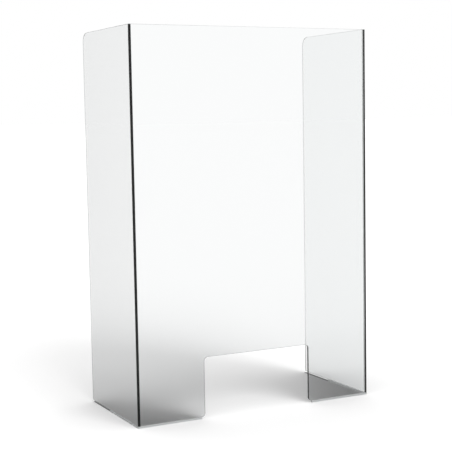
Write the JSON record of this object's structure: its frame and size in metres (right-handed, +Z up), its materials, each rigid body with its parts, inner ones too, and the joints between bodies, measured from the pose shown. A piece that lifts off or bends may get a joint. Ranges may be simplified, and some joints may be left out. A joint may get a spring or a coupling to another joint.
{
  "type": "sneeze guard",
  "caption": "Free-standing clear sneeze guard: a tall front panel with a pass-through at its foot, bonded between side wings with rounded rear corners, on clear strips.",
  "frame": {"origin": "middle of the footprint, on the counter that the guard stands on", "axes": "+Z up; the front panel faces -Y and the wings run back towards +Y; the guard mirrors across the YZ plane"},
  "size_m": [0.662, 0.308, 0.965],
  "materials": {
    "clear_acrylic": "polished",
    "acrylic_cement": "gloss",
    "clear_silicone": "satin",
    "clear_tape": "satin"
  },
  "bodies": {
    "root": {"front_panel": "clear_acrylic", "left_wing": "clear_acrylic", "right_wing": "clear_acrylic", "left_cement_seam": "acrylic_cement", "right_cement_seam": "acrylic_cement", "left_foot_strip": "clear_silicone", "right_foot_strip": "clear_silicone", "left_wing_strip": "clear_silicone", "right_wing_strip": "clear_silicone", "left_foot_tape": "clear_tape", "right_foot_tape": "clear_tape", "left_wing_tape": "clear_tape", "right_wing_tape": "clear_tape"}
  },
  "joints": []
}
